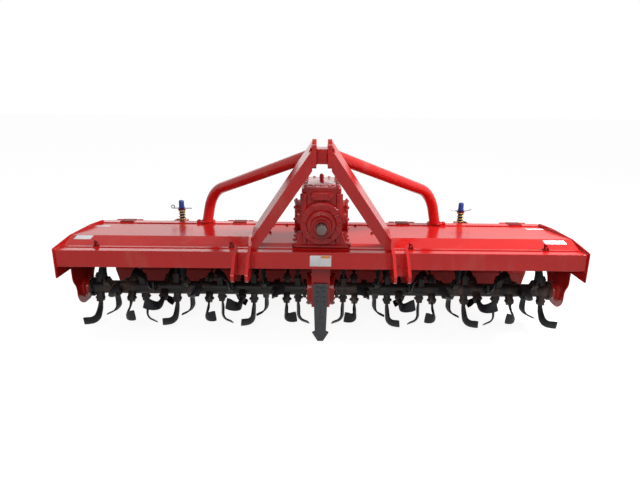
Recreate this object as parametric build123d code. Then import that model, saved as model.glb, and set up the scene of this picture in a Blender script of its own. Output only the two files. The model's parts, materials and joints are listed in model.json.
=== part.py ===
from build123d import *
import math
import os

# Rotary tiller for a tractor's three-point hitch, with a centre gear drive.
# Millimetres. -Y points to the tractor, +Z is up, and +X is the machine's left, as its driver sees it.
# While it is built, Y = 0 is the front beam's front face and Z = 0 is the ground.
# At the end every piece moves along Y, so that the origin is under the middle of the machine.

# ---- overall -------------------------------------------------------------------------------
overall_width = 2800.0       # across the end plates
end_plate_thickness = 8.0
sheet_thickness = 4.0        # decks and trailing board
moving_gap = 6.0             # least room round what turns
pin_clearance = 0.3          # radial, hinge pins in their knuckles
shaft_clearance = 0.1        # radial, shafts in their bores
weld_gap = 0.1               # between a socket's curved seat and the rotor tube

half_width = overall_width / 2
inner_half_width = half_width - end_plate_thickness

# ---- front beam ----------------------------------------------------------------------------
beam_depth = 90.0
beam_height = 92.0
beam_wall = 6.0
beam_top = 565.0
beam_bottom = beam_top - beam_height

# ---- rotor ---------------------------------------------------------------------------------
rotor_radius = 225.0         # blade tip circle
rotor_ground_gap = 23.0
rotor_y = 295.0
rotor_z = rotor_radius + rotor_ground_gap
tube_radius = 38.0
tube_wall = 6.0
rotor_shaft_radius = 25.0
journal_radius = 20.0
rotor_flange_radius = 56.0
rotor_flange_thickness = 12.0
stations_per_side = 19
first_station = 134.0
last_station_room = 33.0     # from the last station to the rotor's end flange
station_turn = 360.0 * 5 / 14     # helix step from one station to the next
station_start = 14.0

# ---- blade, drawn pointing up from the rotor axis --------------------------------------------
blade_thickness = 10.0
shank_half_width = 17.0
blade_root = tube_radius + 4.0
shank_end = 110.0
blade_sweep = 84.0           # how far the tip trails behind the shank
pad_reach = 71.0             # sideways length of the bent tip
pad_thickness = 7.0
socket_thickness = 12.0
socket_half_width = 24.0
socket_top = 86.0

# ---- rotor bearings --------------------------------------------------------------------------
bearing_radius = 60.0
bearing_length = 32.0

# ---- decks and rear rail ---------------------------------------------------------------------
deck_flange_front = 56.0
deck_back = 650.0
deck_flat_front = deck_back - 52    # start of the level strip under the rear rail
deck_flat_top = beam_top - 6
deck_ridge_y = 193.0         # the deck's highest line
deck_rise = 29.0             # that line over the beam's top
side_deck_inner = 360.0
centre_deck_half = 358.0
deck_skirt = 22.0            # turned-down inner edge of a side deck
rail_thickness = 6.0
rail_front = deck_back - 50
rail_drop = 70.0             # height of the rail's rear leg
rail_top = deck_flat_top + rail_thickness

# ---- gear leg and tine -----------------------------------------------------------------------
leg_half_width = 51.0
leg_front = 120.0
leg_back = 382.0
lobe_radius = 95.0
lobe_half_width = 77.0
hub_cap_radius = 62.0
hub_cap_reach = 80.0
tine_thickness = 14.0
tine_top = 349.0
tine_top_half = 41.0
tine_neck_half = 32.0
tine_neck_height = 60.0
point_half = 47.5
point_height = 53.0
point_tip_half = 15.5

# ---- gearbox ---------------------------------------------------------------------------------
gearbox_base_bottom = beam_top + 12
gearbox_base_thickness = 14.0
gearbox_base_half = 156.0
gearbox_base_front = 45.0
gearbox_base_back = 402.0
gearbox_half = 103.0
gearbox_front = 60.0
gearbox_back = 375.0
gearbox_top = 890.0
input_z = 712.0
cover_y = 215.0
cover_radius = 98.0
cover_boss_radius = 88.0
cover_seat = 132.0
cover_thickness = 13.0
lid_half = 92.0
lid_thickness = 15.0
plug_radius = 12.0
plug_height = 40.0
input_flange_radius = 112.0
input_flange_face = 20.0
nose_steps = ((74.0, -5.0), (52.0, -45.0), (39.0, -58.0))    # radius and front face of each step
pto_radius = 27.0
pto_neck_radius = 25.0
pto_tip = -106.0
pto_shoulder = nose_steps[-1][1] - 2    # back end of the splines

# ---- three-point hitch -----------------------------------------------------------------------
ear_thickness = 16.0
lower_pin_radius = 14.25
lower_pin_y = -130.0
lower_pin_z = 478.0
lower_ear_round = 30.0
inner_ear_x = 370.0          # mid planes of the two ears
outer_ear_x = 441.0
hitch_plate_thickness = 8.0
top_pin_radius = 12.8
top_pin_y = -150.0
top_pin_z = 1128.0
top_ear_round = 32.0
top_ear_x = 36.0
top_ear_thickness = 20.0
top_ear_back = 75.0
top_ear_bottom = 1026.0

# ---- mast and braces -------------------------------------------------------------------------
mast_leg_width = 58.0
mast_leg_depth = 110.0
mast_leg_wall = 6.0
mast_foot = (386.0, 76.0, beam_top)
mast_apex = (top_ear_x + top_ear_thickness / 2, -106.0, 1079.0)
brace_radius = 33.0
brace_wall = 4.0
brace_top = (65.0, 35.0, 1060.0)
brace_bend = (682.0, 600.0, 770.0)
brace_foot_x = 736.0
brace_foot_y = deck_back - 28
brace_bend_radius = 200.0
brace_pad = (110.0, 54.0, 8.0)

# ---- trailing board --------------------------------------------------------------------------
hinge_y = deck_back + rail_thickness + 17
hinge_z = deck_flat_top - 3
hinge_pin_radius = 7.0
strap_knuckle_radius = 14.0
board_knuckle_radius = 12.0
strap_width = 82.0
strap_thickness = 5.0
board_knuckle_width = 35.0
inner_hinge_x = 520.0
outer_hinge_x = inner_half_width - 152
hinge_places = (-outer_hinge_x, -inner_hinge_x, inner_hinge_x, outer_hinge_x)
board_half_width = inner_half_width - 16
board_top = hinge_z - 20
board_y = hinge_y + 5
board_bend = (hinge_y + 21, 215.0)
board_curl = (hinge_y + 66, 120.0)
board_edge = (hinge_y + 125, 0.0)
stiffener_bottom, stiffener_top = 225.0, 260.0
stiffener_depth = 30.0
stiffener_wall = 5.0

# ---- spring rods -----------------------------------------------------------------------------
rod_x = (inner_hinge_x + outer_hinge_x) / 2 + 40
rod_y = hinge_y + 72
rod_radius = 16.0
rod_top = hinge_z + 80
rod_cap_height = 49.0
rod_cap_wall = 1.5
guide_z = hinge_z - 21       # axis of the swivelling guide block
guide_size = (52.0, 50.0, 30.0)
trunnion_radius = 8.0
trunnion_reach = 38.0
cheek_gap = 2.0
cheek_thickness = 8.0
cheek_bottom = guide_z - 15
cheek_back = rod_y + 28
eye_z = 330.0
eye_radius = 24.0
eye_width = 34.0
eye_pin_radius = 8.0
eye_drift = 2.8              # how far the eye may wander from its pin over the travel
spring_radius = 24.0
spring_wall = 7.0
clip_z = rod_top - 3
clip_half = 4.0
clip_length = 146.0
clip_half_depth = 22.0
collar_z = 416.0
collar_height = 16.0


def box(x0, x1, y0, y1, z0, z1):
    """A block between two corners."""
    centre = Pos((x0 + x1) / 2, (y0 + y1) / 2, (z0 + z1) / 2)
    return centre * Box(abs(x1 - x0), abs(y1 - y0), abs(z1 - z0))


def side_profile(points, x0, x1):
    """A flat outline of (Y, Z) points, as thick as from x0 to x1."""
    outline = make_face(Polyline(*points, close=True))
    return extrude(Plane.YZ.offset(x0) * outline, amount=x1 - x0)


def rod_along_x(y, z, radius, x0, x1):
    return Pos((x0 + x1) / 2, y, z) * Rot(0, 90, 0) * Cylinder(radius, abs(x1 - x0))


def rod_along_y(x, z, radius, y0, y1):
    return Pos(x, (y0 + y1) / 2, z) * Rot(90, 0, 0) * Cylinder(radius, abs(y1 - y0))


def rod_along_z(x, y, radius, z0, z1):
    return Pos(x, y, (z0 + z1) / 2) * Cylinder(radius, abs(z1 - z0))


def bent_sheet(points, thickness, x0, x1):
    """A folded sheet: points are the outer face, and the inner face lies to their right."""
    inner = []
    for i, (y, z) in enumerate(points):
        normals = []
        for a, b in ((i - 1, i), (i, i + 1)):
            if a < 0 or b >= len(points):
                continue
            dy, dz = points[b][0] - points[a][0], points[b][1] - points[a][1]
            length = math.hypot(dy, dz)
            normals.append((dz / length, -dy / length))
        ny = sum(n[0] for n in normals) / len(normals)
        nz = sum(n[1] for n in normals) / len(normals)
        share = ny * ny + nz * nz
        inner.append((y + thickness * ny / share, z + thickness * nz / share))
    return side_profile(list(points) + inner[::-1], x0, x1)


def mirrored(shape):
    """The same piece on the other side."""
    return mirror(shape, about=Plane.YZ)


nodes = {}


def add(name, *solids):
    nodes[name] = list(solids)


def add_pair(name, *solids):
    """A left-hand piece and its mirror image."""
    add("left_" + name, *solids)
    add("right_" + name, *[mirrored(s) for s in solids])


# ---- front beam and end plates ---------------------------------------------------------------
beam = box(-inner_half_width, inner_half_width, 0, beam_depth, beam_bottom, beam_top)
beam -= box(-inner_half_width, inner_half_width, beam_wall, beam_depth - beam_wall,
            beam_bottom + beam_wall, beam_top - beam_wall)
add("front_beam", beam)

plate_front = -12.0
plate_step = beam_bottom - 61    # level of the plate's straight lower edge
lobe_half = [(145, 82), (108, 37), (108, -28), (80, -68), (40, -88)]    # round the rotor's end
end_outline = [(plate_front, beam_top + 11), (plate_front, plate_step),
               (rotor_y - lobe_half[0][0], plate_step)]
end_outline += [(rotor_y - y, rotor_z + z) for y, z in lobe_half]
end_outline += [(rotor_y + y, rotor_z + z) for y, z in lobe_half[::-1]]
end_outline += [
    (rotor_y + lobe_half[0][0], plate_step), (deck_back - 8, plate_step + 40),
    (deck_back - 8, beam_top), (deck_back - 40, beam_top + 12), (440, beam_top + 27),
    (deck_ridge_y - 6, beam_top + deck_rise + 3),
]
add_pair("end_plate", side_profile(end_outline, inner_half_width, half_width))

bearing = rod_along_x(rotor_y, rotor_z, bearing_radius,
                      inner_half_width - bearing_length, inner_half_width)
bearing -= rod_along_x(rotor_y, rotor_z, journal_radius + shaft_clearance,
                       inner_half_width - bearing_length - 1, inner_half_width)
add_pair("rotor_bearing", bearing)

# ---- decks -----------------------------------------------------------------------------------
side_line = [(deck_flange_front, beam_top + sheet_thickness), (76, beam_top + sheet_thickness),
             (deck_ridge_y, beam_top + deck_rise), (deck_flat_front, deck_flat_top),
             (deck_back, deck_flat_top)]
centre_line = [(deck_flange_front, beam_top + sheet_thickness), (84, beam_top + sheet_thickness),
               (130, gearbox_base_bottom), (deck_flat_front, deck_flat_top),
               (deck_back, deck_flat_top)]
foot_pocket = box(mast_foot[0] - 46, inner_ear_x + 13, deck_flange_front - 1, 140,
                  beam_top - 40, beam_top + 60)

side_deck = bent_sheet(side_line, sheet_thickness, side_deck_inner, inner_half_width)
skirt_line = side_line[1:4]
skirt = skirt_line + [(y, z - deck_skirt) for y, z in skirt_line[::-1]]
skirt_plate = side_profile(skirt, side_deck_inner, side_deck_inner + sheet_thickness)
skirt_plate -= box(0, 600, 0, beam_depth + 1, 0, beam_top)
side_deck = side_deck + skirt_plate - foot_pocket
add_pair("side_deck", side_deck)

centre_deck = bent_sheet(centre_line, sheet_thickness, -centre_deck_half, centre_deck_half)
centre_deck -= box(-leg_half_width - 1, leg_half_width + 1, leg_front - 1, leg_back + 1, 500, 600)
centre_deck = centre_deck - foot_pocket - mirrored(foot_pocket)
add("centre_deck", centre_deck)

rail_line = [(rail_front, rail_top), (deck_back + rail_thickness, rail_top),
             (deck_back + rail_thickness, rail_top - rail_drop)]
add("rear_rail", bent_sheet(rail_line, rail_thickness, -inner_half_width, inner_half_width))

# ---- lower hitch ears ------------------------------------------------------------------------


def lower_ear(middle, upper):
    """A hitch plate welded to the beam's front face, round at its pin, with a hole."""
    x0, x1 = middle - ear_thickness / 2, middle + ear_thickness / 2
    outline = [(0, beam_top + 32)] + upper + [
        (0, beam_bottom - 33), (lower_pin_y + 12, lower_pin_z - 28),
        (lower_pin_y - 28, lower_pin_z + 11), (lower_pin_y + 40, lower_pin_z + 84)]
    plate = side_profile(outline, x0, x1)
    plate += rod_along_x(lower_pin_y, lower_pin_z, lower_ear_round, x0, x1)
    return plate - rod_along_x(lower_pin_y, lower_pin_z, lower_pin_radius, x0 - 1, x1 + 1)


over_beam = [(20, beam_top + 75), (76, beam_top + 75), (76, beam_top), (0, beam_top)]
add_pair("inner_hitch_ear", lower_ear(inner_ear_x, over_beam))
add_pair("outer_hitch_ear", lower_ear(outer_ear_x, []))
ear_inside = inner_ear_x + ear_thickness / 2
ear_outside = outer_ear_x - ear_thickness / 2
add_pair("hitch_back_plate", box(ear_inside, ear_outside, -hitch_plate_thickness, 0,
                                 beam_bottom - 33, beam_top))

# ---- mast ------------------------------------------------------------------------------------
foot, apex = Vector(*mast_foot), Vector(*mast_apex)
leg_way = (apex - foot).normalized()
leg_side = leg_way.cross(leg_way.cross(Vector(1, 0, 0))).normalized()
leg_plane = Plane(origin=foot - leg_way * 120, x_dir=leg_side, z_dir=leg_way)
leg_section = Rectangle(mast_leg_width, mast_leg_depth)
leg_section -= Rectangle(mast_leg_width - 2 * mast_leg_wall, mast_leg_depth - 2 * mast_leg_wall)
mast_leg = extrude(leg_plane * leg_section, amount=(apex - foot).length + 240)
mast_leg -= box(-600, 900, -400, 600, 0, beam_top)
mast_leg -= box(inner_ear_x - ear_thickness / 2, 900, -400, 600, 0, beam_top + 600)
mast_leg -= box(-600, mast_apex[0], -400, 600, 0, 2000)
mast_leg -= rod_along_x(top_pin_y, top_pin_z, top_ear_round, -600, 900)    # room for the pin
add_pair("mast_leg", mast_leg)

ear_x0, ear_x1 = top_ear_x - top_ear_thickness / 2, top_ear_x + top_ear_thickness / 2
top_outline = [(top_pin_y - top_ear_round, top_pin_z), (top_pin_y - top_ear_round, top_ear_bottom + 14),
               (top_pin_y - 16, top_ear_bottom), (top_ear_back, top_ear_bottom),
               (top_ear_back, 1108), (top_pin_y + 13, top_pin_z + 29)]
top_ear = side_profile(top_outline, ear_x0, ear_x1)
top_ear += rod_along_x(top_pin_y, top_pin_z, top_ear_round, ear_x0, ear_x1)
top_ear -= rod_along_x(top_pin_y, top_pin_z, top_pin_radius, ear_x0 - 1, ear_x1 + 1)
add_pair("top_link_ear", top_ear)
add("mast_spacer", box(-ear_x0, ear_x0, -48, top_ear_back - 4, 1030, 1103))

# ---- rear braces -----------------------------------------------------------------------------
pad_length, pad_depth, pad_height = brace_pad
brace_end_z = rail_top + pad_height
brace_start = Vector(*brace_top) + (Vector(*brace_top) - Vector(*brace_bend)).normalized() * 90
brace_line = FilletPolyline(brace_start, brace_bend, (brace_foot_x, brace_foot_y, brace_end_z - 60),
                            radius=brace_bend_radius)
brace_ring = Plane(origin=brace_line @ 0, z_dir=brace_line % 0) * (
    Circle(brace_radius) - Circle(brace_radius - brace_wall))
brace = sweep(brace_ring, path=brace_line)
brace -= box(-200, ear_x1, -400, 400, 900, 1300)
brace -= box(500, 1000, 400, 900, 300, brace_end_z)
add_pair("rear_brace", brace)
add_pair("brace_pad", box(brace_foot_x - pad_length / 2, brace_foot_x + pad_length / 2,
                          brace_foot_y - 20, brace_foot_y - 20 + pad_depth, rail_top, brace_end_z))

# ---- gearbox ---------------------------------------------------------------------------------
base_top = gearbox_base_bottom + gearbox_base_thickness
housing = box(-gearbox_base_half, gearbox_base_half, gearbox_base_front, gearbox_base_back,
              gearbox_base_bottom, base_top)
flare = Plane.XZ.offset(-gearbox_back) * make_face(Polyline(
    (-cover_seat, base_top), (cover_seat, base_top), (gearbox_half, 700), (-gearbox_half, 700),
    close=True))
housing += extrude(flare, amount=gearbox_back - gearbox_front)
housing += box(-gearbox_half, gearbox_half, gearbox_front, gearbox_back, base_top, gearbox_top)
housing += rod_along_x(cover_y, input_z, cover_boss_radius, -cover_seat, cover_seat)
add("gearbox_housing", housing)
add("gearbox_lid", box(-lid_half, lid_half, gearbox_front + 2, gearbox_back - 2,
                       gearbox_top, gearbox_top + lid_thickness))
add("breather_plug", rod_along_z(0, cover_y, plug_radius, gearbox_top + lid_thickness,
                                 gearbox_top + lid_thickness + plug_height))
add_pair("gearbox_cover", rod_along_x(cover_y, input_z, cover_radius, cover_seat,
                                      cover_seat + cover_thickness))

nose = rod_along_y(0, input_z, input_flange_radius, input_flange_face, gearbox_front)
for radius, front in nose_steps:
    nose += rod_along_y(0, input_z, radius, front, gearbox_front)
nose -= rod_along_y(0, input_z, pto_neck_radius + shaft_clearance, pto_tip, gearbox_front)
add("input_flange", nose)
pto_shaft = rod_along_y(0, input_z, pto_radius, pto_tip, pto_shoulder)
pto_shaft += rod_along_y(0, input_z, pto_neck_radius, pto_shoulder, gearbox_front - 2)
add("pto_shaft", pto_shaft)

# ---- gear leg and centre tine ----------------------------------------------------------------
leg_outline = [(leg_front, gearbox_base_bottom), (leg_back, gearbox_base_bottom),
               (leg_back, rotor_z + 52), (rotor_y, rotor_z - lobe_radius),
               (rotor_y - 80, rotor_z - 73), (leg_front, rotor_z - 43)]
gear_leg = side_profile(leg_outline, -leg_half_width, leg_half_width)
gear_leg += rod_along_x(rotor_y, rotor_z, lobe_radius, -lobe_half_width, lobe_half_width)
gear_leg += rod_along_x(rotor_y, rotor_z, hub_cap_radius, -hub_cap_reach, hub_cap_reach)
gear_leg -= rod_along_x(rotor_y, rotor_z, rotor_shaft_radius + shaft_clearance,
                        -hub_cap_reach, hub_cap_reach)
add("gear_leg", gear_leg)

tine_outline = [(tine_top_half, tine_top), (tine_neck_half, tine_neck_height),
                (point_half, point_height), (point_tip_half, 0)]
tine_outline += [(-x, z) for x, z in tine_outline[::-1]]
tine_face = Plane.XZ.offset(-leg_front) * make_face(Polyline(*tine_outline, close=True))
tine = extrude(tine_face, amount=tine_thickness)
ridge = make_face(Polyline((-13, leg_front - tine_thickness), (0, leg_front - tine_thickness - 9),
                           (13, leg_front - tine_thickness), close=True))
tine += extrude(Plane.XY.offset(18) * ridge, amount=tine_top - 40)
add("centre_tine", tine)

# ---- rotor -----------------------------------------------------------------------------------
pad_outer = math.sqrt(rotor_radius ** 2 - blade_sweep ** 2)
pad_inner_z = pad_outer - 8
side_edge = [
    Line((-shank_half_width, blade_root), (shank_half_width, blade_root)),
    Line((shank_half_width, blade_root), (shank_half_width, shank_end)),
    ThreePointArc((shank_half_width, shank_end), (38, pad_outer - 52), (blade_sweep, pad_outer - 24)),
    Line((blade_sweep, pad_outer - 24), (blade_sweep, pad_outer)),
    Line((blade_sweep, pad_outer), (8, pad_inner_z)),
    ThreePointArc((8, pad_inner_z), (-11, pad_outer - 58), (-shank_half_width, shank_end)),
    Line((-shank_half_width, shank_end), (-shank_half_width, blade_root)),
]
blade = extrude(Plane.YZ.offset(-blade_thickness / 2) * make_face(side_edge), amount=blade_thickness)
blade += side_profile([(8, pad_inner_z), (blade_sweep, pad_outer),
                       (blade_sweep, pad_outer - pad_thickness), (8, pad_inner_z - pad_thickness)],
                      0, pad_reach + blade_thickness / 2)
twin_blade = mirrored(blade)
socket = box(-blade_thickness / 2 - socket_thickness, -blade_thickness / 2,
             -socket_half_width, socket_half_width, tube_radius - 10, socket_top)
socket -= rod_along_x(0, 0, tube_radius + weld_gap, -2 * socket_thickness, 0)
twin_socket = mirrored(socket)

rotor_inner = hub_cap_reach + moving_gap
rotor_outer = inner_half_width - bearing_length - moving_gap
last_station = rotor_outer - rotor_flange_thickness - last_station_room
station_pitch = (last_station - first_station) / (stations_per_side - 1)

for side, name in ((1, "left"), (-1, "right")):
    tube = rod_along_x(rotor_y, rotor_z, tube_radius, side * rotor_inner, side * rotor_outer)
    tube -= rod_along_x(rotor_y, rotor_z, tube_radius - tube_wall,
                        side * (rotor_inner + rotor_flange_thickness),
                        side * (rotor_outer - rotor_flange_thickness))
    for start in (rotor_inner, rotor_outer - rotor_flange_thickness):
        tube += rod_along_x(rotor_y, rotor_z, rotor_flange_radius,
                            side * start, side * (start + rotor_flange_thickness))
    blades, sockets = [], []
    for i in range(stations_per_side):
        for half in (0, 1):
            place = Pos(side * (first_station + i * station_pitch), rotor_y, rotor_z)
            place *= Rot(station_start + i * station_turn + 180 * half, 0, 0)
            bends_out = (i + half) % 2 == 0 or i == stations_per_side - 1
            towards_left = bends_out == (side > 0)
            blades.append(place * (blade if towards_left else twin_blade))
            sockets.append(place * (socket if towards_left else twin_socket))
    if side > 0:
        tube += rod_along_x(rotor_y, rotor_z, rotor_shaft_radius, -rotor_inner + 0.5, rotor_inner)
    tube += rod_along_x(rotor_y, rotor_z, journal_radius, side * rotor_outer,
                        side * (inner_half_width - 1))
    add(name + "_rotor_shaft", tube)
    add(name + "_blade_sockets", *sockets)
    add(name + "_blades", *blades)

# ---- board hinges ----------------------------------------------------------------------------
straps, pins = [], []
for x in hinge_places:
    strap = box(x - strap_width / 2, x + strap_width / 2, rail_front + 12, hinge_y,
                rail_top, rail_top + strap_thickness)
    strap += rod_along_x(hinge_y, hinge_z, strap_knuckle_radius,
                         x - strap_width / 2, x + strap_width / 2)
    strap -= rod_along_x(hinge_y, hinge_z, hinge_pin_radius + pin_clearance, x - 99, x + 99)
    straps.append(strap)
    reach = strap_width / 2 + moving_gap + board_knuckle_width + 6
    pins.append(rod_along_x(hinge_y, hinge_z, hinge_pin_radius, x - reach, x + reach))
add("hinge_straps", *straps)
add("hinge_pins", *pins)

# ---- trailing board --------------------------------------------------------------------------
board_line = [(board_y, board_top), board_bend, board_curl, board_edge]
board = bent_sheet(board_line, sheet_thickness, -board_half_width, board_half_width)
board &= box(-half_width, half_width, deck_back - 50, hinge_y + 220, 0, hinge_z)
for x in hinge_places:
    for side in (-1, 1):
        start = x + side * (strap_width / 2 + moving_gap)
        end = start + side * board_knuckle_width
        knuckle = rod_along_x(hinge_y, hinge_z, board_knuckle_radius, start, end)
        knuckle += box(start, end, board_y - 2, board_y + 6, board_top - 40, hinge_z)
        knuckle -= rod_along_x(hinge_y, hinge_z, hinge_pin_radius + pin_clearance,
                               start - side, end + side)
        board += knuckle
add("trailing_board", board)

stiffener_y = board_bend[0]
stiffener = box(-board_half_width + 20, board_half_width - 20, stiffener_y,
                stiffener_y + stiffener_depth, stiffener_bottom, stiffener_top)
stiffener -= box(-board_half_width, board_half_width, stiffener_y,
                 stiffener_y + stiffener_depth - stiffener_wall,
                 stiffener_bottom + stiffener_wall, stiffener_top - stiffener_wall)
add("board_stiffener", stiffener)

# ---- spring rods -----------------------------------------------------------------------------
guide_x, guide_y, guide_h = guide_size
cheek_start = guide_x / 2 + cheek_gap
cheek_line = [(deck_back + rail_thickness, rail_top - 17), (deck_back + rail_thickness, rail_top),
              (hinge_y + 27, rail_top + 10), (cheek_back, rail_top + 10),
              (cheek_back, cheek_bottom), (hinge_y + 51, cheek_bottom),
              (hinge_y + 25, rail_top - 17)]
cheeks = []
for side in (-1, 1):
    near = rod_x + side * cheek_start
    far = near + side * cheek_thickness
    cheek = side_profile(cheek_line, min(near, far), max(near, far))
    cheeks.append(cheek - rod_along_x(rod_y, guide_z, trunnion_radius + pin_clearance,
                                      near - side, far + side))
add_pair("spring_bracket", *cheeks)

guide = box(rod_x - guide_x / 2, rod_x + guide_x / 2, rod_y - guide_y / 2, rod_y + guide_y / 2,
            guide_z - guide_h / 2, guide_z + guide_h / 2)
guide += rod_along_x(rod_y, guide_z, trunnion_radius, rod_x - trunnion_reach, rod_x + trunnion_reach)
guide -= rod_along_z(rod_x, rod_y, rod_radius + pin_clearance,
                     guide_z - guide_h, guide_z + guide_h)
add_pair("rod_guide", guide)

guide_top, guide_under = guide_z + guide_h / 2, guide_z - guide_h / 2


def spring_sleeve(z0, z1):
    """The outer shape of a coil spring round a rod."""
    sleeve = rod_along_z(rod_x, rod_y, spring_radius, z0, z1)
    return sleeve - rod_along_z(rod_x, rod_y, spring_radius - spring_wall, z0 - 1, z1 + 1)


add_pair("carrying_spring", spring_sleeve(guide_top, clip_z - clip_half))
add_pair("pressure_spring", spring_sleeve(collar_z + collar_height, guide_under))

rod = rod_along_z(rod_x, rod_y, rod_radius, eye_z + eye_radius - 4, rod_top)
rod += rod_along_x(rod_y, eye_z, eye_radius, rod_x - eye_width / 2, rod_x + eye_width / 2)
rod -= rod_along_x(rod_y, eye_z, eye_pin_radius + eye_drift, rod_x - 30, rod_x + 30)
rod += rod_along_z(rod_x, rod_y, spring_radius, collar_z, collar_z + collar_height)
add_pair("spring_rod", rod)
cap = rod_along_z(rod_x, rod_y, rod_radius + rod_cap_wall, clip_z, clip_z + rod_cap_height)
add_pair("rod_cap", cap - rod_along_z(rod_x, rod_y, rod_radius, clip_z - 1, rod_top))
clip = box(rod_x - clip_length / 2, rod_x + clip_length / 2,
           rod_y - clip_half_depth, rod_y + clip_half_depth, clip_z - clip_half, clip_z)
clip -= rod_along_z(rod_x, rod_y, rod_radius + pin_clearance, clip_z - 2 * clip_half,
                    clip_z + clip_half)
add_pair("rod_clip", clip)

lug_gap = eye_width / 2 + 3
lugs = []
for side in (-1, 1):
    near = rod_x + side * lug_gap
    far = near + side * 8
    lug = side_profile([(board_y + 10, eye_z - 24), (rod_y, eye_z - 22), (rod_y + 22, eye_z),
                        (rod_y, eye_z + 22), (board_y + 8, eye_z + 40)], min(near, far), max(near, far))
    lugs.append(lug)
eye_pin = rod_along_x(rod_y, eye_z, eye_pin_radius, rod_x - lug_gap - 14, rod_x + lug_gap + 14)
eye_lug = lugs[0] + lugs[1] + eye_pin
board_front = [(deck_back, board_top), (board_y, board_top), board_bend, (deck_back, board_bend[1])]
eye_lug -= side_profile(board_front, rod_x - 60, rod_x + 60)
add_pair("eye_lug", eye_lug)

# ---- place the origin and write every node ---------------------------------------------------
whole = Compound(children=[s for solids in nodes.values() for shape in solids
                           for s in shape.solids()]).bounding_box()
middle_y = (whole.min.Y + whole.max.Y) / 2

os.makedirs("parts", exist_ok=True)
for name, solids in nodes.items():
    pieces = [Pos(0, -middle_y, 0) * s for shape in solids for s in shape.solids()]
    shape = pieces[0] if len(pieces) == 1 else Compound(children=pieces)
    export_step(shape, f"parts/{name}.step")

print("origin is at Y =", round(middle_y, 3), "from the beam's front face")
print("lowest", round(whole.min.Z, 3), "highest", round(whole.max.Z, 3))
print("size", [round(v, 1) for v in (whole.size.X, whole.size.Y, whole.size.Z)])
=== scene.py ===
import json, math
import bmesh
import bpy
import numpy as np
from mathutils import Matrix, Vector

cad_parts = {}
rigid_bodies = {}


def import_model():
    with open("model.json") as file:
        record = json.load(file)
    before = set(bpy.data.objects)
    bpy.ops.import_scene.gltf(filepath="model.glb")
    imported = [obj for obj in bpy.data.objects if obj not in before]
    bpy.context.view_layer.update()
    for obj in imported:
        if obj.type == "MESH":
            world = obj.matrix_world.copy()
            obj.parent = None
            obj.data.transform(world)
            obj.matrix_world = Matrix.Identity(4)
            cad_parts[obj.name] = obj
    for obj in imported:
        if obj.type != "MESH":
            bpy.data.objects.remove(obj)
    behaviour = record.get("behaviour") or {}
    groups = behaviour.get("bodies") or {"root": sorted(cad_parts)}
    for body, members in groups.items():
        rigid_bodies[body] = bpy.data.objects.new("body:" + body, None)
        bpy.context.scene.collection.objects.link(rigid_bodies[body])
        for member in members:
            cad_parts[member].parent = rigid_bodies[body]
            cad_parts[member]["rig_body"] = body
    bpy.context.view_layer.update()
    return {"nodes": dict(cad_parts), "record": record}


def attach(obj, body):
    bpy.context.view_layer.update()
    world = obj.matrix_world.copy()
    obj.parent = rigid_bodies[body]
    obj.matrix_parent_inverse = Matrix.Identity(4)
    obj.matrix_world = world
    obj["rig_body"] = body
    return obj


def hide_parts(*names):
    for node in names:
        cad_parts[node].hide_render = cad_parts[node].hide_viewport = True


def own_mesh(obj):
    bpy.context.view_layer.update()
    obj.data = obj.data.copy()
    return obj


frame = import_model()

# Rotary tiller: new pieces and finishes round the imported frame.
# Metres. -Y points to the tractor, +Z is up, +X is the machine's left.

sides = (("left", 1), ("right", -1))
slotOf = {s["node"]: s["material_slot"] for s in frame["record"]["subparts"]}
rng = np.random.default_rng(7)


class Shade:                       # a socket of one material; its operators add Math nodes
    def __init__(self, tree, socket=None):
        self.tree, self.socket = tree, socket

    def node(self, kind, settings=None, sockets=None, out=0):
        made = self.tree.nodes.new("ShaderNode" + kind)
        for key, value in (settings or {}).items():
            setattr(made, key, value)
        for key, value in (sockets or {}).items():
            if isinstance(value, Shade):
                self.tree.links.new(value.socket, made.inputs[key])
            else:
                made.inputs[key].default_value = value
        return Shade(self.tree, made.outputs[out])

    def maths(self, operation, a, b):
        return self.node("Math", {"operation": operation}, {0: a, 1: b})

    def __add__(self, other): return self.maths("ADD", self, other)
    def __radd__(self, other): return self.maths("ADD", other, self)
    def __sub__(self, other): return self.maths("SUBTRACT", self, other)
    def __rsub__(self, other): return self.maths("SUBTRACT", other, self)
    def __mul__(self, other): return self.maths("MULTIPLY", self, other)
    def __rmul__(self, other): return self.maths("MULTIPLY", other, self)

    def step(self, low, high):     # 0 below low, 1 above high, smooth between
        return self.node("MapRange", {"interpolation_type": "SMOOTHSTEP"}, {0: self, 1: low, 2: high})

    def mix(self, first, second):  # this value mixes two colours
        colours = [c if isinstance(c, Shade) else (*c, 1) for c in (first, second)]
        return self.node("Mix", {"data_type": "RGBA"}, {0: self, 6: colours[0], 7: colours[1]}, out=2)

    def noise(self, at, scale, detail=4.0, rough=0.55):
        return self.node("TexNoise", None,
                         {"Vector": at, "Scale": scale, "Detail": detail, "Roughness": rough})

    def stretched(self, at, scale):
        return self.node("VectorMath", {"operation": "MULTIPLY"}, {0: at, 1: scale})

    def end(self, kind):           # this shader goes to the material's or the world's output
        output = self.tree.nodes.new("ShaderNodeOutput" + kind)
        self.tree.links.new(self.socket, output.inputs["Surface"])


def newMaterial(name):
    made = bpy.data.materials.new(name)
    made.use_nodes = True
    made.node_tree.nodes.clear()
    shade = Shade(made.node_tree)
    return made, shade, shade.node("TexCoord", out="Object")


def edgeMask(shade, radius):       # how far the rounded normal leaves the flat one: bright on edges
    rounded = shade.node("Bevel", {"samples": 4}, {"Radius": radius})
    flat = shade.node("NewGeometry", out="Normal")
    along = shade.node("VectorMath", {"operation": "DOT_PRODUCT"}, {0: rounded, 1: flat}, out="Value")
    return 1 - along


dustTone = (0.42, 0.25, 0.2)
rustTone = (0.16, 0.07, 0.035)


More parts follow.
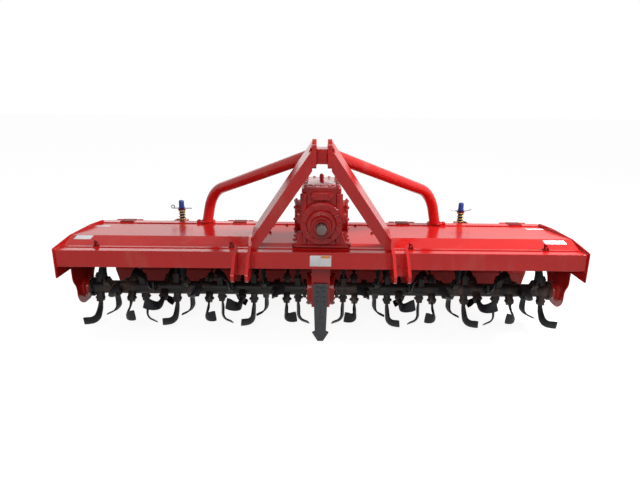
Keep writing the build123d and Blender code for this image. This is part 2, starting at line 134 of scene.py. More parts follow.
def paintFinish(name, colour, deep, roughness=0.15, coat=0.07, gloss=0.16, peel=0.02, dust=0.25,
                chipsAndHighlight=0.3, chipAndHighlightTone=(0.3, 0.16, 0.14), grain=0.0):
    # Sprayed paint: cloudy depth of colour, orange-peel skin, dust in broad patches, and lighter flecks
    # on the edges that are partly chipped paint and partly a painted highlight.
    made, s, at = newMaterial(name)
    cloud = s.noise(at, 2.3, 5.0)
    streak = s.noise(s.stretched(at, (5.0, 5.0, 0.9)), 3.0, 4.0)
    base = cloud.step(0.3, 0.75).mix(deep, colour)
    dusty = (cloud * 0.5 + streak * 0.5).step(0.5, 0.74) * dust
    base = dusty.mix(base, dustTone)
    speck = s.noise(at, 160.0, 3.0, 0.7)
    # lighter flecks along the edges: partly chipped paint, partly a painted highlight on the edges
    chippedAndHighlit = edgeMask(s, 0.0025).step(0.03, 0.3) * speck.step(0.5, 0.66) * chipsAndHighlight
    base = chippedAndHighlit.mix(base, chipAndHighlightTone)
    skin = s.noise(at, 240.0, 2.0) * peel + s.noise(at, 420.0, 3.0, 0.6) * grain
    normal = s.node("Bump", None, {"Strength": 0.35, "Distance": 0.002, "Height": skin})
    rough = roughness + cloud * 0.08 + dusty * 0.4 + chippedAndHighlit * 0.3
    varnish = coat - dusty * coat if coat else 0.0     # a plain number stays on the shader's socket
    s.node("BsdfPrincipled", None, {
        "Base Color": base, "Roughness": rough, "Coat Weight": varnish,
        "Coat Roughness": 0.05, "Specular IOR Level": gloss, "Normal": normal}).end("Material")
    return made


def steelFinish(name, colour, second, roughness, metallic, grain=0.3, scale=60.0, rust=0.0,
                edge=0.0, edgeColour=(0.4, 0.4, 0.4), gloss=0.5):
    # Bare, blackened or plated steel: mottled tone, fine grain, rust in patches, rubbed edges.
    made, s, at = newMaterial(name)
    mottled = s.noise(at, scale, 5.0, 0.65)
    patch = s.noise(at, scale * 0.17, 5.0, 0.6)
    base = mottled.step(0.3, 0.72).mix(colour, second)
    rusty = (patch * 0.6 + mottled * 0.4).step(0.5, 0.68) * rust
    base = rusty.mix(base, rustTone)
    rubbed = edgeMask(s, 0.003).step(0.02, 0.3) * mottled.step(0.25, 0.6) * edge
    base = rubbed.mix(base, edgeColour)
    height = mottled * 0.6 + s.noise(at, scale * 6, 2.0) * 0.4
    normal = s.node("Bump", None, {"Strength": grain, "Distance": 0.001, "Height": height})
    rough = roughness + mottled * 0.18 + rusty * 0.3 - rubbed * 0.12
    metal = metallic - rusty * metallic if rust else metallic
    s.node("BsdfPrincipled", None, {
        "Base Color": base, "Roughness": rough, "Metallic": metal,
        "Specular IOR Level": gloss, "Normal": normal}).end("Material")
    return made


def plasticFinish(name, colour, second, roughness):
    # Moulded or printed plastic: faint clouds of a second tone and a very fine skin.
    made, s, at = newMaterial(name)
    cloud = s.noise(at, 45.0, 3.0)
    fine = s.noise(at, 900.0, 2.0)
    normal = s.node("Bump", None, {"Strength": 0.15, "Distance": 0.0006, "Height": fine})
    s.node("BsdfPrincipled", None, {
        "Base Color": cloud.step(0.35, 0.7).mix(colour, second), "Roughness": roughness + cloud * 0.12,
        "Normal": normal}).end("Material")
    return made


red, deepRed = (0.66, 0.016, 0.014), (0.56, 0.012, 0.011)
finishes = {
    "red_paint": paintFinish("redPaint", red, deepRed, gloss=0.26),
    "deckFinish": paintFinish("deckPaint", red, deepRed, coat=0.03, gloss=0.09),
    "board_paint": paintFinish("boardPaint", (0.5, 0.014, 0.012), (0.42, 0.012, 0.01),
        roughness=0.42, coat=0.0, dust=0.4),
    "casting_paint": paintFinish("castingPaint", (0.47, 0.014, 0.013), (0.36, 0.01, 0.01),
        roughness=0.3, coat=0.3, grain=0.12, dust=0.3),
    # the lid: a glossier copy of the casting paint; its lighter colour is painted light on the lid's lit
    # top
    "lidLighterGlossyPaint": paintFinish("lidPaint", (0.52, 0.016, 0.015), (0.4, 0.012, 0.012),
        roughness=0.2, coat=0.6, gloss=0.55, grain=0.08),
    "hinge_paint": paintFinish("hingePaint", (0.26, 0.011, 0.012), (0.18, 0.009, 0.009),
        roughness=0.35, coat=0.0, gloss=0.04, chipsAndHighlight=0.6),
    "rod_guide_paint": paintFinish("rodGuidePaint", (0.26, 0.012, 0.011), (0.19, 0.01, 0.01),
        roughness=0.3, coat=0.0, chipsAndHighlight=0.6),
    "rotor_steel": paintFinish("rotorBlack", (0.014, 0.012, 0.011), (0.008, 0.007, 0.007),
        roughness=0.42, coat=0.0, gloss=0.22, peel=0.05, dust=0.35, chipsAndHighlight=0.5, chipAndHighlightTone=(0.1, 0.09, 0.08)),
    "blade_steel": steelFinish("bladeSteel", (0.005, 0.006, 0.007), (0.012, 0.013, 0.016),
        roughness=0.38, metallic=0.0, edge=0.5, edgeColour=(0.06, 0.06, 0.07), gloss=0.18),
    "tine_steel": steelFinish("tineSteel", (0.03, 0.034, 0.038), (0.055, 0.06, 0.066),
        roughness=0.42, metallic=0.35, edge=0.6, edgeColour=(0.16, 0.17, 0.18)),
    "pto_steel": steelFinish("ptoSteel", (0.11, 0.078, 0.072), (0.17, 0.13, 0.12),
        roughness=0.42, metallic=0.8, scale=90.0, rust=0.5),
    "blue_paint": paintFinish("rodBlue", (0.012, 0.018, 0.105), (0.008, 0.012, 0.065), dust=0.15),
    "blue_cap": plasticFinish("capBlue", (0.01, 0.035, 0.235), (0.014, 0.05, 0.31), 0.3),
    "yellow_zinc": steelFinish("yellowZinc", (0.62, 0.42, 0.1), (0.46, 0.34, 0.13),
        roughness=0.26, metallic=0.75, grain=0.1, scale=120.0),
    "bright_zinc": steelFinish("brightZinc", (0.56, 0.56, 0.58), (0.42, 0.42, 0.45),
        roughness=0.25, metallic=0.85, grain=0.1, scale=120.0),
}
print("finishes made:", len(finishes))


# Every shape below is (points, faces).
def skin(rings, loop=False):
    # Quads between neighbouring rings of points; a flat face closes each end, or a loop meets itself.
    count, around = rings.shape[:2]
    i, j = np.meshgrid(np.arange(count if loop else count - 1), np.arange(around), indexing="ij")
    nextI, nextJ = (i + 1) % count, (j + 1) % around
    corners = [i * around + j, i * around + nextJ, nextI * around + nextJ, nextI * around + j]
    faces = np.stack(corners, -1).reshape(-1, 4).tolist()
    if not loop:
        faces += [list(range(around))[::-1], list(range((count - 1) * around, count * around))]
    return rings.reshape(-1, 3), faces


def fullTurn(count):               # evenly spaced angles, the last one a step short of the first
    return np.linspace(0, 2 * np.pi, count, endpoint=False)


def circle(radius, turn, height):  # a point of the circle round +Z for each angle
    return np.stack([radius * np.cos(turn), radius * np.sin(turn), height + 0 * turn], -1)


def lathe(profile, around, loop=False):
    # Each (radius, height) of the profile turned once round +Z; a loop profile makes a ring.
    profile = np.array(profile, float)
    return skin(circle(profile[:, :1], fullTurn(around), profile[:, 1:]), loop)


def filleted(points, radii, steps=5):
    # A polyline's corners replaced by arcs: quadratic Bezier through each corner's two tangent points.
    points = np.array(points, float)
    out = [points[0]]
    t = np.linspace(0, 1, steps)[:, None]
    for before, corner, after, radius in zip(points[:-2], points[1:-1], points[2:], radii):
        first, second = before - corner, after - corner
        reach = min(radius, np.linalg.norm(first) * 0.49, np.linalg.norm(second) * 0.49)
        start = corner + first / np.linalg.norm(first) * reach
        end = corner + second / np.linalg.norm(second) * reach
        out += list((1 - t) ** 2 * start + 2 * t * (1 - t) * corner + t ** 2 * end)
    return np.array(out + [points[-1]])


def tube(path, radius, around, loop=False):
    # A circle carried along a path; its frame turns as little as it can from point to point.
    path = np.array(path, float)
    ahead = np.roll(path, -1, 0) - np.roll(path, 1, 0) if loop else np.gradient(path, axis=0)
    ahead /= np.linalg.norm(ahead, axis=1)[:, None]
    side = np.cross(ahead[0], [0.31, 0.22, 0.92])     # any direction that isn't along the path
    frames = []
    for direction in ahead:
        side = side - direction * side.dot(direction)
        side /= np.linalg.norm(side)
        frames.append((side, np.cross(direction, side)))
    frames = np.array(frames)
    turn = fullTurn(around)[:, None]
    radius = np.broadcast_to(np.asarray(radius, float), len(path))[:, None, None]
    ring = np.cos(turn) * frames[:, None, 0] + np.sin(turn) * frames[:, None, 1]
    return skin(path[:, None] + radius * ring, loop)


def cornerRing(x0, x1, y0, y1, corner, around):
    # A rectangle with round corners: r (cos a, sin a) about each corner's centre, over a quarter turn.
    turn = np.linspace(0, np.pi / 2, around)
    centres = ((x1 - corner, y1 - corner), (x0 + corner, y1 - corner),
               (x0 + corner, y0 + corner), (x1 - corner, y0 + corner))
    arcs = []
    for k, (x, y) in enumerate(centres):
        a = turn + k * np.pi / 2
        arcs.append(np.stack([x + corner * np.cos(a), y + corner * np.sin(a)], -1))
    return np.concatenate(arcs)


def roundedBox(x, y, z, sizeX, sizeY, sizeZ, corner, edge, around):
    # A round-cornered rectangle stacked along Z, drawn in at both ends for the edges.
    ring = cornerRing(-sizeX / 2, sizeX / 2, -sizeY / 2, sizeY / 2, corner, around)
    way = ring / np.linalg.norm(ring, axis=1)[:, None]
    half = sizeZ / 2
    levels = ((-half, edge), (-half + edge * 0.3, edge * 0.3), (-half + edge, 0),
              (half - edge, 0), (half - edge * 0.3, edge * 0.3), (half, edge))
    rings = [np.c_[ring - way * inset, np.full(len(ring), level)] for level, inset in levels]
    points, faces = skin(np.array(rings))
    return points + (x, y, z), faces


def placed(origin, up, across=(1, 0, 0), turn=0.0):
    # The matrix that takes +Z to up and +X to across, turned about up.
    up = Vector(up).normalized()
    across = Vector(across)
    if abs(across.normalized().dot(up)) > 0.95:
        across = Vector((0, 1, 0)) if abs(up.y) < 0.9 else Vector((0, 0, 1))
    across = (across - up * across.dot(up)).normalized()
    matrix = Matrix((across, up.cross(across), up)).transposed().to_4x4()
    matrix.translation = origin
    return np.array(matrix @ Matrix.Rotation(turn, 4, "Z"))


def stamped(shape, places):
    # One shape repeated at many places, each given by its matrix.
    points, faces = shape
    whole = np.c_[points, np.ones(len(points))]
    moved = np.einsum("kij,nj->kni", np.array(places), whole)[..., :3].reshape(-1, 3)
    return moved, [[v + k * len(points) for v in face] for k in range(len(places)) for face in faces]


def joined(*shapes):
    # Several shapes as one, each one's faces counted on from the points before it.
    points, faces, start = [], [], 0
    for shapePoints, shapeFaces in shapes:
        points.append(shapePoints)
        faces += [[v + start for v in face] for face in shapeFaces]
        start += len(shapePoints)
    return np.concatenate(points), faces


def mirroredX(shape):
    # The same shape on the other side of the middle plane.
    return np.asarray(shape[0]) * (-1, 1, 1), [face[::-1] for face in shape[1]]


def throughPoints(points, count):
    # A Catmull-Rom curve through the points: on each span, cubic weights of its four nearest points.
    points = np.array(points, float)
    padded = np.vstack([2 * points[0] - points[1], points, 2 * points[-1] - points[-2]])
    t = np.linspace(0, len(points) - 1, count)
    k = np.minimum(t.astype(int), len(points) - 2)
    u = (t - k)[:, None]
    a, b, c, d = padded[k], padded[k + 1], padded[k + 2], padded[k + 3]
    square, cube = 2 * a - 5 * b + 4 * c - d, 3 * b - a - 3 * c + d
    return 0.5 * (2 * b + (c - a) * u + square * u ** 2 + cube * u ** 3)


def hexBolt(across, head, washer, plate, stub=0.0):
    # Washer, six-sided head drawn in at its top, and a threaded stub where a nut is meant.
    corner, top = across / math.sqrt(3), plate + head
    disc = ((washer, 0), (washer, plate * 0.7), (washer * 0.96, plate), (corner * 0.7, plate))
    hexagon = ((corner, plate), (corner, plate + head * 0.8), (corner * 0.88, top))
    parts = [lathe(disc, 16), lathe(hexagon, 6)]
    if stub:
        rod, tip = across * 0.27, across * 0.2
        parts.append(lathe(((rod, top), (rod, top + stub * 0.8), (tip, top + stub)), 10))
    return joined(*parts)


def boltsAt(size, spots, way):
    # Bolts of one size at the given spots, all facing one way.
    return stamped(hexBolt(*size), [placed(spot, way) for spot in spots])


def bothSides(spots):              # each spot and its mirror image
    return [(side * x, y, z) for side in (1, -1) for x, y, z in spots]


def roundX(x, centre, radius, degrees, way):
    # Places on a circle round an axis along X, (y + r cos a, z + r sin a), facing along X.
    return [placed((x, centre[0] + radius * math.cos(a), centre[1] + radius * math.sin(a)), (way, 0, 0))
            for a in np.radians(degrees)]


def addObject(name, data):
    made = bpy.data.objects.new(name, data)
    bpy.context.scene.collection.objects.link(made)
    return made


def addPiece(name, mesh, body, slot, stands, crease, finish):
    # The mesh's object, smooth up to the crease angle, in its finish and on its body.
    mesh.shade_smooth()
    mesh.set_sharp_from_angle(angle=math.radians(crease))
    mesh.materials.append(finish or finishes[slot])
    piece = addObject(name, mesh)
    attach(piece, body)
    if stands:
        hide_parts(*stands)
    return piece


def makePiece(name, shape, body, slot, stands=(), crease=35, finish=None):
    # The shape's mesh, its doubles merged and its faces turned outwards.
    mesh = bpy.data.meshes.new(name)
    mesh.from_pydata(np.asarray(shape[0], float).tolist(), [], shape[1])
    made = bmesh.new()
    made.from_mesh(mesh)
    bmesh.ops.remove_doubles(made, verts=made.verts, dist=1e-6)
    bmesh.ops.recalc_face_normals(made, faces=made.faces)
    made.to_mesh(mesh)
    made.free()
    return addPiece(name, mesh, body, slot, stands, crease, finish)


def bodyOf(node):
    return frame["nodes"][node]["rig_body"]


def standIn(name, shape, node, crease=35, finish=None):
    # A piece that takes one CAD node's place, on its body and in its slot.
    return makePiece(name, shape, bodyOf(node), slotOf[node], [node], crease, finish)


# Rotor: blades, their holders and the end flanges' bolts.
rotor = {
    "axis": (-0.013, 0.248), "first": 0.134, "last": 1.309, "stations": 19,
    "helix": 360 * 5 / 14, "start": 14.0,      # degrees from station to station and at the first
    "flanges": ((0.098, 1), (1.342, -1)),      # distance from the middle, and way the bolts face
    "boltCircle": 0.0465, "bolt": (0.013, 0.006, 0.0082, 0.001)}
blade = {
    "line": ((0, 0.042), (0, 0.076), (0.001, 0.106), (0.013, 0.14), (0.04, 0.174), (0.071, 0.203),
        (0.102, 0.227)),
    "halfWidth": ((0, 0.0165), (0.3, 0.0165), (0.5, 0.02), (0.75, 0.0265), (0.92, 0.031), (1, 0.029)),
    "thickness": ((0, 0.012), (0.5, 0.0115), (1, 0.0075)), "rings": 20,
    "sharpOver": (0.32, 0.2), "twistOver": (0.18, 0.25), "slantOver": (0.6, 0.4),     # from, length
    "bevel": (0.12, 0.4), "edge": (0.55, -0.43),     # share where blunt, change where sharp
    "shoulder": 0.86, "twist": 26.0, "slant": 0.22,
    "bendAt": 0.16, "lean": 25.0, "bendRadius": 0.042, "bendAngle": 78.0}
holder = {
    "x": -0.0005, "r": 0.057, "size": (0.036, 0.046, 0.058), "rounding": (0.006, 0.003, 3),
    "boltR": 0.0645, "bolt": (0.017, 0.006, 0.0105, 0.001),
    "nut": (0.017, 0.007, 0.0105, 0.001, 0.004)}
bearing = {
    "x": 1.392,
    "profile": ((0.0212, 0), (0.06, 0), (0.06, 0.009), (0.0575, 0.0115), (0.049, 0.0125),
        (0.045, 0.016), (0.043, 0.028), (0.04, 0.032), (0.0212, 0.032)),
    "studX": 1.3815, "studCircle": 0.0535, "stud": (0.011, 0.005, 0.0065, 0.001)}


def rising(t, start, length):      # 0 up to start, then evenly to 1 over length
    return np.clip((t - start) / length, 0, 1)[:, None]


def bladeBlank():
    # An eight-point section, thin at its leading edge, carried along a curved line in the blade's plane
    # and twisted about it. Returns its places in that plane and its offsets from it.
    line = throughPoints(blade["line"], blade["rings"])
    ahead = np.gradient(line, axis=0)
    ahead /= np.linalg.norm(ahead, axis=1)[:, None]
    across = np.stack([ahead[:, 1], -ahead[:, 0]], -1)
    t = np.linspace(0, 1, len(line))
    half = np.interp(t, *np.transpose(blade["halfWidth"]))[:, None]
    thick = np.interp(t, *np.transpose(blade["thickness"]))[:, None]
    sharp = rising(t, *blade["sharpOver"])
    bevel, thin = [blunt + change * sharp for blunt, change in (blade["bevel"], blade["edge"])]
    one, shoulder = np.ones_like(half), np.full_like(half, blade["shoulder"])
    w = np.concatenate([-one, bevel - 1, shoulder, one, one, shoulder, bevel - 1, -one], 1) * half
    x = np.concatenate([-thin, -one, -one, -0.5 * one, 0.5 * one, one, one, thin], 1) * thick / 2
    twist = np.radians(blade["twist"]) * rising(t, *blade["twistOver"])
    w, x = w * np.cos(twist) - x * np.sin(twist), w * np.sin(twist) + x * np.cos(twist)
    skew = rising(t, *blade["slantOver"])[..., None] * blade["slant"]
    return line[:, None] + across[:, None] * w[..., None] + ahead[:, None] * skew * w[..., None], x


def bentBlade():
    # The blank bends past a leaning line: a point d beyond it and x off the plane goes (R - x) sin(d/R)
    # on and R - (R - x) cos(d/R) sideways. Past the last angle it runs straight.
    flat, x = bladeBlank()
    lean, most = math.radians(blade["lean"]), math.radians(blade["bendAngle"])
    radius, start = blade["bendRadius"], blade["bendAt"]
    out = np.array([math.sin(lean), math.cos(lean)])
    along = np.array([math.cos(lean), -math.sin(lean)])
    past = flat @ out - start
    turn = np.clip(past / radius, 0, most)
    straight = np.maximum(past - radius * most, 0)
    reach = start + np.minimum(past, 0) + (radius - x) * np.sin(turn) + straight * math.cos(most)
    sideways = radius - (radius - x) * np.cos(turn) + straight * math.sin(most)
    inPlane = (flat @ along)[..., None] * along + reach[..., None] * out
    return skin(np.concatenate([sideways[..., None], inPlane], -1))


def bladeHolder():
    # A rounded box round the shank with one bolt through it.
    middle, face = holder["x"], holder["size"][0] / 2
    return joined(roundedBox(middle, 0, holder["r"], *holder["size"], *holder["rounding"]),
                  boltsAt(holder["bolt"], [(middle - face, 0, holder["boltR"])], (-1, 0, 0)),
                  boltsAt(holder["nut"], [(middle + face, 0, holder["boltR"])], (1, 0, 0)))


def bladePlaces(side, bend):
    # Station i: an even step along X and i helix angles round; its second blade is half a turn on.
    # The blades bend outwards and inwards by turns, and both of the last station bend outwards.
    places, last = [], rotor["stations"] - 1
    for i in range(rotor["stations"]):
        x = side * (rotor["first"] + i * (rotor["last"] - rotor["first"]) / last)
        for half in (0, 1):
            outwards = (i + half) % 2 == 0 or i == last
            if (side if outwards else -side) == bend:
                turn = math.radians(rotor["start"] + i * rotor["helix"] + 180 * half)
                place = Matrix.Translation((x, *rotor["axis"])) @ Matrix.Rotation(turn, 4, "X")
                places.append(np.array(place))
    return places


def makeRotor():
    plain, pocket, axis = bentBlade(), bladeHolder(), rotor["axis"]
    for name, side in sides:
        bends = bladePlaces(side, 1), bladePlaces(side, -1)
        blades, pockets = [joined(stamped(shape, bends[0]), stamped(mirroredX(shape), bends[1]))
                           for shape in (plain, pocket)]
        standIn(name + ".rotorBlades", blades, name + "_blades", 40)
        standIn(name + ".bladeHolders", pockets, name + "_blade_sockets")
        bolts = []
        for x, way in rotor["flanges"]:
            bolts += roundX(side * x, axis, rotor["boltCircle"], range(0, 360, 60), side * way)
        bolts = stamped(hexBolt(*rotor["bolt"]), bolts)
        makePiece(name + ".flangeBolts", bolts, "rotor", "rotor_steel")
        seat = placed((side * bearing["x"], *axis), (-side, 0, 0))
        ring = stamped(lathe(bearing["profile"], 40, loop=True), [seat])
        studs = roundX(side * bearing["studX"], axis, bearing["studCircle"], range(45, 360, 90), -side)
        standIn(name + ".endBearing", joined(ring, stamped(hexBolt(*bearing["stud"]), studs)),
                name + "_rotor_bearing")


makeRotor()
print("rotor made")


# Gearbox, lid, covers and the input nose. A box is x, y, z, its three sizes, corner, edge, arc points.
gearbox = {
    "coverAxis": (-0.093, 0.712), "front": -0.248,     # the input shaft is at the covers' height
    "levels": (        # height, half width, front, back, corner
        (0.577, 0.153, -0.26, 0.091, 0.018), (0.58, 0.156, -0.263, 0.094, 0.02),
        (0.589, 0.156, -0.263, 0.094, 0.02), (0.592, 0.153, -0.26, 0.091, 0.018),
        (0.594, 0.137, -0.25, 0.07, 0.016), (0.604, 0.129, -0.2485, 0.068, 0.016),
        (0.64, 0.116, -0.248, 0.067, 0.016), (0.675, 0.106, -0.248, 0.067, 0.016),
        (0.71, 0.1025, -0.248, 0.067, 0.016), (0.862, 0.0985, -0.247, 0.066, 0.016),
        (0.868, 0.0995, -0.2475, 0.0665, 0.016), (0.872, 0.103, -0.248, 0.067, 0.014),
        (0.888, 0.103, -0.248, 0.067, 0.014), (0.89, 0.101, -0.246, 0.065, 0.013)),
    "boss": ((0.086, 0.08), (0.094, 0.096), (0.09, 0.103), (0.088, 0.112), (0.088, 0.131),
        (0.0865, 0.132)),
    "ribs": [(0.104, y, 0.735, 0.018, 0.012, 0.24, 0.004, 0.003, 3) for y in (-0.195, 0.012)],
    "webs": [(0.122, y, 0.618, 0.03, 0.012, 0.055, 0.004, 0.003, 3) for y in (-0.205, 0.02)],
    "columns": [(0.0885, -0.252, 0.735, 0.026, 0.02, 0.262, 0.007, 0.003, 4)],
    "lidBlock": (0, -0.253, 0.852, 0.108, 0.022, 0.04, 0.006, 0.003, 4),
    "noseFoot": (0, -0.255, 0.61, 0.15, 0.016, 0.03, 0.006, 0.003, 4),
    "columnBolts": [(0.0885, -0.262, z) for z in (0.64, 0.832)], "blockBolts": [(0.046, -0.264, 0.852)],
    "columnBolt": (0.014, 0.006, 0.009, 0.001),
    "baseBolts": [(0.145, y, 0.592) for y in (-0.248, -0.165, -0.085, -0.005, 0.078)],
    "backBolts": [(x, 0.082, 0.592) for x in (-0.095, 0, 0.095)],
    "bolt": (0.017, 0.008, 0.0125, 0.0015)}
lid = {
    "boxes": ((0, -0.0905, 0.8955, 0.184, 0.311, 0.011, 0.012, 0.003, 5),
        (0, -0.0905, 0.9025, 0.148, 0.262, 0.009, 0.014, 0.004, 5)),
    "edgeX": (-0.0835, 0.0835), "edgeY": (-0.234, -0.162, -0.09, -0.018, 0.053),
    "endBolts": [(x, y, 0.901) for x in (-0.042, 0, 0.042) for y in (-0.237, 0.056)],
    "padZ": 0.8995, "boltZ": 0.9045, "bolt": (0.014, 0.006, 0.0095, 0.0012),
    "pad": ((0.0125, 0), (0.0125, 0.004), (0.011, 0.006)), "plugAt": (0, -0.093, 0.906),
    "plug": ((0.014, 0), (0.014, 0.003), (0.0105, 0.004), (0.0105, 0.009), (0.0122, 0.01),
        (0.0122, 0.026), (0.0115, 0.033), (0.0085, 0.038), (0.004, 0.0398), (0.0002, 0.04))}
cover = {
    "seat": 0.132, "radius": 0.0895, "swell": 0.0085, "lobes": 8, "lobedFrom": 0.9,
    "rings": ((0.97, 0), (1, 0.0015), (1, 0.009), (0.975, 0.0115), (0.8, 0.0118), (0.76, 0.0105),
        (0.72, 0.0065), (0.44, 0.006), (0.41, 0.0095), (0.38, 0.0125), (0.2, 0.013),
        (0.002, 0.013)),     # share of the radius, lift
    "boltX": 0.1433, "boltCircle": 0.0835, "bolt": (0.013, 0.006, 0.0085, 0.001),
    "ribX": 0.1385, "rib": (0.0515, 0, 0.0025, 0.034, 0.006, 0.005, 0.002, 0.0015, 3)}
nose = {
    "profile": ((0.027, 0), (0.108, 0), (0.112, 0.003), (0.112, 0.035), (0.1095, 0.0385), (0.106, 0.04),
        (0.08, 0.04), (0.0765, 0.0425), (0.0745, 0.047), (0.074, 0.06), (0.072, 0.0635), (0.069, 0.065),
        (0.0575, 0.065), (0.0545, 0.067), (0.0525, 0.071), (0.052, 0.101), (0.0505, 0.1045),
        (0.0485, 0.105), (0.0455, 0.105), (0.0445, 0.1), (0.0405, 0.1), (0.0395, 0.103), (0.039, 0.115),
        (0.0375, 0.118), (0.0305, 0.118), (0.0295, 0.112), (0.027, 0.112)),
    "flange": 0.04, "boltCircle": 0.0935, "bolt": (0.017, 0.008, 0.0125, 0.0018),
    "rib": (0.089, 0, 0.003, 0.028, 0.009, 0.01, 0.003, 0.002, 3),
    "step": 0.0648, "screwCircle": 0.0615, "screw": (0.009, 0.004, 0.0055, 0.0006)}
shaft = {
    "splines": 8, "stations": (      # y, root radius, spline height
        (-0.414, 0.02, 0), (-0.4138, 0.0215, 0), (-0.4115, 0.0235, 0.0015), (-0.4095, 0.0235, 0.0034),
        (-0.401, 0.0235, 0.0034), (-0.4, 0.0228, 0), (-0.3945, 0.0228, 0), (-0.3935, 0.0235, 0.0034),
        (-0.372, 0.0235, 0.0034), (-0.369, 0.0245, 0.001), (-0.368, 0.0248, 0), (-0.25, 0.0248, 0))}


def makeGearbox():
    # The casting is round-cornered rectangles stacked up: base plate, flared skirt, box and top flange.
    levels = []
    for z, x, front, back, corner in gearbox["levels"]:
        ring = cornerRing(-x, x, front, back, corner, 7)
        levels.append(np.c_[ring, np.full(len(ring), z)])
    parts = [skin(np.array(levels)), roundedBox(*gearbox["lidBlock"]), roundedBox(*gearbox["noseFoot"])]
    boss = lathe(gearbox["boss"], 40)
    for side in (1, -1):
        parts.append(stamped(boss, [placed((0, *gearbox["coverAxis"]), (side, 0, 0))]))
        boxes = gearbox["ribs"] + gearbox["webs"] + gearbox["columns"]
        parts += [roundedBox(side * x, *size) for x, *size in boxes]
    upright = bothSides(gearbox["baseBolts"]) + gearbox["backBolts"]
    parts += [boltsAt(gearbox["columnBolt"], bothSides(gearbox["columnBolts"]), (0, -1, 0)),
              boltsAt(gearbox["bolt"], bothSides(gearbox["blockBolts"]), (0, -1, 0)),
              boltsAt(gearbox["bolt"], upright, (0, 0, 1))]
    standIn("gearboxCasting", joined(*parts), "gearbox_housing")


def makeLid():
    # Plate and raised panel. Bolts along both edges stand on small pads, three at each end on the plate.
    edges = [(x, y) for x in lid["edgeX"] for y in lid["edgeY"]]
    pads = [placed((x, y, lid["padZ"]), (0, 0, 1)) for x, y in edges]
    bolts = [(x, y, lid["boltZ"]) for x, y in edges] + lid["endBolts"]
    parts = [roundedBox(*size) for size in lid["boxes"]]
    parts += [stamped(lathe(lid["pad"], 16), pads), boltsAt(lid["bolt"], bolts, (0, 0, 1))]
    standIn("gearboxLidCast", joined(*parts), "gearbox_lid", finish=finishes["lidLighterGlossyPaint"])
    plug = stamped(lathe(lid["plug"], 20), [placed(lid["plugAt"], (0, 0, 1))])
    standIn("breatherCap", plug, "breather_plug")


def makeCovers():
    # The rim swells at each bolt: r0 + k |cos 4a|^5 has eight lobes. Round rings make the dished middle.
    turn = fullTurn(96)
    rim = cover["radius"] + cover["swell"] * np.abs(np.cos(cover["lobes"] / 2 * turn)) ** 5
    rings = []
    for share, lift in cover["rings"]:
        r = share * (rim if share > cover["lobedFrom"] else cover["radius"])
        rings.append(circle(r, turn, lift))
    plate, rib, bolt = skin(np.array(rings)), roundedBox(*cover["rib"]), hexBolt(*cover["bolt"])
    axis, step = gearbox["coverAxis"], 360 / cover["lobes"]
    for name, side in sides:
        seat = placed((side * cover["seat"], *axis), (side, 0, 0), (0, 1, 0))
        bolts = roundX(side * cover["boltX"], axis, cover["boltCircle"], np.arange(0, 360, step), side)
        ribs = [placed((side * cover["ribX"], *axis), (side, 0, 0), (0, math.cos(a), math.sin(a)))
                for a in np.radians(np.arange(step / 2, 360, step))]
        shape = joined(stamped(plate, [seat]), stamped(bolt, bolts), stamped(rib, ribs))
        standIn(name + ".sideCover", shape, name + "_gearbox_cover")


def noseFace(forward, radius, a, across=(1, 0, 0)):
    # A place this far in front of the box, at angle a round the input shaft, facing forward.
    z = gearbox["coverAxis"][1] + radius * math.sin(a)
    return placed((radius * math.cos(a), gearbox["front"] - forward, z), (0, -1, 0), across)


def makeNose():
    # Turned round the input shaft: bolted flange, three steps with a groove, and an open front.
    bolts, ribs, screws = [], [], []
    for a in np.radians(np.arange(30, 360, 60)):
        across = (math.cos(a), 0, math.sin(a))
        bolts.append(noseFace(nose["flange"], nose["boltCircle"], a - math.pi / 6, across))
        ribs.append(noseFace(nose["flange"], 0, a, across))
        screws.append(noseFace(nose["step"], nose["screwCircle"], a))
    parts = [stamped(lathe(nose["profile"], 64, loop=True), [noseFace(0, 0, 0)]),
             stamped(hexBolt(*nose["bolt"]), bolts), stamped(roundedBox(*nose["rib"]), ribs),
             stamped(hexBolt(*nose["screw"]), screws)]
    standIn("inputNose", joined(*parts), "input_flange")


def makeInputShaft():
    # Splines: radius r0 + h clip(0.5 + 1.6 cos 8a, 0, 1), chamfered at the tip, with a lock groove.
    turn = fullTurn(96)
    tooth = np.clip(0.5 + 1.6 * np.cos(shaft["splines"] * turn), 0, 1)
    rings, z = [], gearbox["coverAxis"][1]
    for y, root, depth in shaft["stations"]:
        r = root + depth * tooth
        rings.append(np.stack([r * np.cos(turn), y + 0 * turn, z + r * np.sin(turn)], -1))
    standIn("splinedShaft", skin(np.array(rings)), "pto_shaft", 30)


makeGearbox()
makeLid()
makeCovers()
makeNose()
makeInputShaft()
print("gearbox made")


# Spring rods: coils, caps, clips, washers and bracket cheeks.
springs = {
    "x": 0.92, "y": 0.437, "mean": 0.0205, "wire": 0.0068, "perTurn": 26,
    "endTurns": 0.75, "endRise": 0.045,     # turns that lie nearly flat, and their share of the rise
    "carryLow": 0.5505, "carryHigh": 0.6175, "carryTurns": 4.4,
    "pushLow": 0.432, "pushHigh": 0.52, "pushTurns": 5.2, "keep": 0.62,     # share kept when pushed
    "capZ": 0.633, "cap": ((0.0205, 0), (0.0205, 0.003), (0.0182, 0.0042), (0.0174, 0.01),
        (0.0172, 0.034), (0.0164, 0.0425), (0.014, 0.0468), (0.0085, 0.0487), (0.0002, 0.0493)),
    "washerZ": 0.6175, "washer": ((0.0166, 0), (0.0245, 0), (0.0255, 0.0012), (0.0255, 0.004),
        (0.0245, 0.0052), (0.0166, 0.0052))}
clip = {
    "z": 0.628, "half": 0.073, "wire": 0.0045, "eye": 0.0098, "eyeFrom": 0.15, "eyeTo": 1.75,
    "eyeLean": 0.0012, "barX": (0.03, -0.02), "eyeGap": 0.006, "bowRadii": (0.022, 0.022),
    "bow": ((-0.069, 0, 0.012), (-0.048, 0, 0), (0.048, 0, 0), (0.069, 0, 0.011))}
